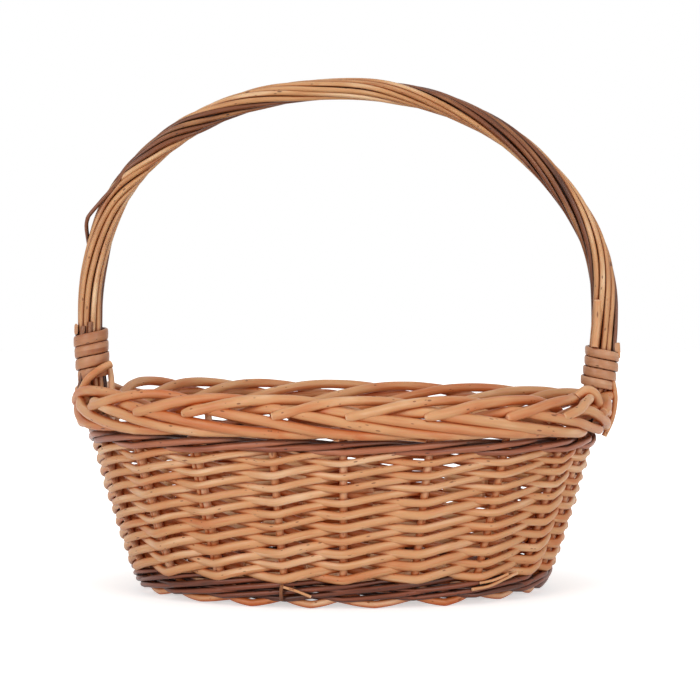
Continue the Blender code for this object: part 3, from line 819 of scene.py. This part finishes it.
class BASKET_OT_handle(bpy.types.Operator):
    """Twist the peeled and unpeeled rods round the bow"""

    bl_idname = "basket.handle"
    bl_label = "Handle"

    def execute(self, context):
        radius = context.scene.basket_rods.handle
        groups = (
            ("handle_rods_brown", range(-2, 2), "handworn_unpeeled_willow", "brown_willow"),
            ("handle_rods_buff_1", range(2, 5), "sorted_peeled_willow", "handle_buff_willow"),
            ("handle_rods_buff_2", range(5, 8), "sorted_peeled_willow", "handle_buff_willow"),
        )
        path = handle_line(ROD_ROOT_HEIGHT, 20, 130)
        lengths = [0.0]
        for one, two in zip(path, path[1:]):
            lengths.append(lengths[-1] + (two - one).length)
        root = ROD_START_HEIGHT - ROD_ROOT_HEIGHT
        for node, rods, finish, slot in groups:
            bundle = RodBundle()
            for rod in rods:
                seed = 1310 + rod
                chance = random.Random(seed)
                line, radii = [], []
                for i, centre in enumerate(path):
                    ahead = path[min(i + 1, len(path) - 1)] - path[max(i - 1, 0)]
                    outward = ahead.cross(ACROSS).normalized()
                    outer = rod_reach(centre.z)
                    size = radius * (0.4 + 0.6 * outer / ROD_OUTER_TOP) * (1 + 0.1 * wobble(seed, i * 0.05))
                    part = (lengths[-1] - root - lengths[i]) / (lengths[-1] - 2 * root)
                    angle = turn(rod / 10 - twist_turns(part)) + 0.16 * wobble(seed + 5, i * 0.06)
                    reach = outer - size + 0.9 * MM * wobble(seed + 9, i * 0.08)
                    place = outward * (reach * math.cos(angle)) - ACROSS * (reach * math.sin(angle))
                    line.append(centre + place)
                    radii.append(size)
                bundle.add(line, radii, 12, chance.uniform(-0.6, 1.0))
            bundle.finish(f"twisted_{node}", finish_named(finish), node, slot=slot)
        bow = RodBundle()
        line = handle_line(0.023, 30, 80)
        radii = []
        for point in line:
            share = min(max((point.z - WALL_HEIGHT) / (0.150 - WALL_HEIGHT), 0.0), 1.0)
            radii.append(STAKE_RADIUS + (0.0045 - STAKE_RADIUS) * share)
        bow.add(line, radii, 14, 0.4)
        bow.finish("bow_core", finish_named("handworn_unpeeled_willow"), "handle_bow", slot="brown_willow")
        return {"FINISHED"}


BINDING_THICKNESS = 0.0027
BINDING_REACH = 0.01145


class BASKET_OT_bindings(bpy.types.Operator):
    """Bind the handle's feet with four turns of flat rod"""

    bl_idname = "basket.bindings"
    bl_label = "Handle bindings"

    def execute(self, context):
        kinds = (("binding_right", 1, 0.1508, 0.0071, 0.0067), ("binding_left", -1, 0.1580, 0.0086, 0.0081))
        for name, side, low, pitch, wide in kinds:
            bundle = RodBundle()
            loop = 48
            path, outs = [], []
            count = 4 * loop
            for i in range(-5, count + 6):
                step = min(max(i, 0), count)
                angle = turn(step / loop)
                height = low + pitch * i / loop + 0.4 * MM * wobble(7 + side, i * 0.045)
                outward = Vector((math.cos(angle) * side, -math.sin(angle), 0))
                around = Vector((-math.sin(angle) * side, -math.cos(angle), 0))
                tuck = max(0.0, abs(i - count / 2) - count / 2 + 8) / 14
                reach = BINDING_REACH + 0.3 * MM * wobble(9 + side, i * 0.12) - 2 * MM * tuck
                centre = Vector((leg_reach(height) * side + handle_lean(side, height), 0, height))
                height -= 0.09 * outward.x * side * reach
                centre.z = height
                path.append(centre + outward * reach + around * ((i - step) * turn(1 / loop) * reach))
                outs.append(outward)
            radii = rod_radii(len(path), wide / 2, 1500 + side, 0.05)
            flat = BINDING_THICKNESS / wide
            bundle.add(path, radii, 16, 0.5 + 0.2 * side, flat=flat, outs=outs, square=0.62)
            bundle.finish(f"skein_{name}", finish_named("shaved_skein_willow"), name)
        return {"FINISHED"}


# Loose ends that the photograph shows: each is a radius in millimetres and a route of pixels with a depth in
# millimetres in front of the handle's plane
BROWN_ENDS = (
    (1.5, ((128, 166, 4), (117, 183, 7), (104, 198, 7), (91, 213, 5), (87.5, 219, 4), (86.5, 228, 1), (89, 246, -4))),
    (2.2, ((83.5, 326, 8.6), (83, 333, 8.8), (82.5, 340, 8.8))),
    (2.0, ((90.5, 322, 9.2), (90, 331, 9.4), (89.5, 339, 9.2))),
    (1.9, ((83, 372, 8), (80, 386, 9), (78, 400, 9), (78, 412, 8))),
    (1.9, ((609, 262, 2), (614.5, 290, 2), (615.5, 320, 3), (614, 345, 4), (613, 358, 4))),
    (1.3, ((282, 585, 108.5), (281, 592, 107), (281.5, 600, 104.5))),
)
PALE_ENDS = (
    (2.7, ((597.5, 300, 7), (597, 322, 9), (595.5, 336, 10), (594.5, 347, 11))),
    (1.7, ((617.5, 343, 2), (618, 350, 3), (618, 358, 3))),
    (3.7, ((577, 397, 45), (586, 390.5, 43), (593.5, 393, 40), (597.5, 401, 37), (599, 411, 34))),
    (2.0, ((611, 376, 3), (614, 388, 3), (615, 400, 4), (612, 418, 5), (604, 436, 6))),
    (2.8, ((111, 364, 11), (104, 367, 14), (96, 372, 16), (88, 379, 16), (82, 389, 13))),
    (2.2, ((109, 366, 4), (111, 376, 5), (112, 390, 6))),
    (1.2, ((472, 589.5, 88.5), (489, 586, 82.5), (504, 579, 76.5), (517, 573, 69.5))),
    (1.0, ((480, 583, 87), (494, 580, 82), (508, 574, 75.5))),
    (1.0, ((283, 587, 108), (296, 591, 108.5), (311, 597, 108.5))),
)


class BASKET_OT_loose_ends(bpy.types.Operator):
    """Leave the rods' cut ends standing out by the bindings and the foot"""

    bl_idname = "basket.loose_ends"
    bl_label = "Loose ends"

    def execute(self, context):
        kinds = (
            ("loose_brown_ends", BROWN_ENDS, "handworn_unpeeled_willow", "brown_willow"),
            ("loose_pale_ends", PALE_ENDS, "boiled_peeled_willow", "buff_willow"),
        )
        for name, routes, finish, slot in kinds:
            bundle = RodBundle()
            for i, (radius, knots) in enumerate(routes):
                places = [seen_place(x, y, -front * MM) for x, y, front in knots]
                path = [Vector(point) for point in smooth_route(places, 8)]
                radii = rod_radii(len(path), radius * MM, 1700 + i, 0.08)
                bundle.add(path, radii, 12, random.Random(1700 + i).random())
            bundle.finish(name, finish_named(finish), slot=slot)
        return {"FINISHED"}


class BasketStage(bpy.types.PropertyGroup):
    """The light."""

    key_power: bpy.props.FloatProperty(
        name="Front light", description="Power of the two large lamps by the camera", default=12.5, unit="POWER",
    )
    room_light: bpy.props.FloatProperty(
        name="Room light", description="Strength of the light from all round", default=0.46,
    )


class BASKET_OT_stage(bpy.types.Operator):
    """Set the pale floor, the soft light and the camera"""

    bl_idname = "basket.stage"
    bl_label = "Floor, light and camera"

    def execute(self, context):
        settings = context.scene.basket_stage
        scene = context.scene
        scene.view_settings.view_transform = "Standard"
        self.floor()
        self.world(scene, settings.room_light)
        self.lamp("front_left", (-1.1, -1.5, 0.6), 0.8, settings.key_power)
        self.lamp("front_right", (1.15, -1.5, 0.55), 0.8, settings.key_power * 0.85)
        self.lamp("overhead", (0.0, -0.5, 1.9), 1.2, settings.key_power * 0.4)
        data = bpy.data.cameras.new("camera")
        data.sensor_width = SENSOR_MM
        data.lens = FOCAL_PX * SENSOR_MM / IMAGE_SIZE
        camera = bpy.data.objects.new("camera", data)
        scene.collection.objects.link(camera)
        camera.location, down = eye_place()
        camera.rotation_euler = (math.pi / 2 - down, 0, 0)
        scene.camera = camera
        return {"FINISHED"}

    def white_to_the_eye(self, tree):
        """One where the camera, a gloss or glass looks, and nothing for the light that falls on the basket."""
        seen = add_node(tree, "ShaderNodeLightPath").outputs
        links = [(0, seen["Is Camera Ray"]), (1, seen["Is Glossy Ray"])]
        shown = add_node(tree, "ShaderNodeMath", links, operation="MAXIMUM").outputs[0]
        links = [(0, shown), (1, seen["Is Transmission Ray"])]
        return add_node(tree, "ShaderNodeMath", links, operation="MAXIMUM").outputs[0]

    def floor(self):
        shape = bmesh.new()
        bmesh.ops.create_grid(shape, x_segments=1, y_segments=1, size=8.0)
        mesh = bpy.data.meshes.new("pale_floor")
        shape.to_mesh(mesh)
        shape.free()
        material = bpy.data.materials.new("matt_white_floor")
        material.use_nodes = True
        tree = material.node_tree
        shader = tree.nodes["Principled BSDF"]
        shader.inputs["Base Color"].default_value = linear("EDEDED")
        shader.inputs["Roughness"].default_value = 0.9
        shader.inputs["Specular IOR Level"].default_value = 0.0
        shader.inputs["Emission Color"].default_value = (1, 1, 1, 1)
        # the floor's own shadow shows by the foot, and farther out the floor is as white as the room
        place = add_node(tree, "ShaderNodeTexCoord").outputs["Object"]
        away = add_node(tree, "ShaderNodeVectorMath", [(0, place)], operation="LENGTH").outputs["Value"]
        ranges = {"From Min": 0.15, "From Max": 0.55, "To Min": 0.55, "To Max": 1.0}
        level = add_node(tree, "ShaderNodeMapRange", [("Value", away)], **ranges).outputs[0]
        lift = add_node(tree, "ShaderNodeMath", [(0, self.white_to_the_eye(tree)), (1, level)], operation="MULTIPLY")
        tree.links.new(lift.outputs[0], shader.inputs["Emission Strength"])
        mesh.materials.append(material)
        floor = bpy.data.objects.new("pale_floor", mesh)
        bpy.context.scene.collection.objects.link(floor)

    def world(self, scene, strength):
        world = bpy.data.worlds.new("soft_room")
        scene.world = world
        world.use_nodes = True
        tree = world.node_tree
        links = [("Value", self.white_to_the_eye(tree)), ("To Min", strength), ("To Max", 1.0)]
        level = add_node(tree, "ShaderNodeMapRange", links).outputs[0]
        back = tree.nodes["Background"]
        back.inputs["Color"].default_value = (1, 1, 1, 1)
        tree.links.new(level, back.inputs["Strength"])

    def lamp(self, name, place, size, power):
        data = bpy.data.lights.new(name, "AREA")
        data.size = size
        data.energy = power
        lamp = bpy.data.objects.new(name, data)
        lamp.location = place
        towards = Vector((0, 0, 0.15)) - Vector(place)
        lamp.rotation_euler = towards.to_track_quat("-Z", "Y").to_euler()
        bpy.context.scene.collection.objects.link(lamp)


class BASKET_PT_panel(bpy.types.Panel):
    """Lists the basket's pieces in the sidebar"""

    bl_idname = "BASKET_PT_panel"
    bl_label = "Willow basket"
    bl_space_type = "VIEW_3D"
    bl_region_type = "UI"
    bl_category = "Basket"

    def draw(self, context):
        scene = context.scene
        for group in (scene.basket_rods, scene.basket_finishes, scene.basket_stage):
            for name in group.bl_rna.properties.keys():
                if name not in {"rna_type", "name"}:
                    self.layout.prop(group, name)
        for step in STEPS:
            self.layout.operator(step.bl_idname)


STEPS = (
    BASKET_OT_base,
    BASKET_OT_stakes,
    BASKET_OT_siding,
    BASKET_OT_wales,
    BASKET_OT_foot,
    BASKET_OT_border,
    BASKET_OT_handle,
    BASKET_OT_bindings,
    BASKET_OT_loose_ends,
    BASKET_OT_stage,
)
GROUPS = {"basket_rods": BasketRods, "basket_finishes": BasketFinishes, "basket_stage": BasketStage}
CLASSES = (*GROUPS.values(), *STEPS, BASKET_PT_panel)


def register():
    for kind in CLASSES:
        bpy.utils.register_class(kind)
    for name, kind in GROUPS.items():
        setattr(bpy.types.Scene, name, bpy.props.PointerProperty(type=kind))


def unregister():
    for name in GROUPS:
        delattr(bpy.types.Scene, name)
    for kind in reversed(CLASSES):
        bpy.utils.unregister_class(kind)


def main():
    register()
    for step in STEPS:
        group, name = step.bl_idname.split(".")
        getattr(getattr(bpy.ops, group), name)()


if __name__ == "__main__":
    main()
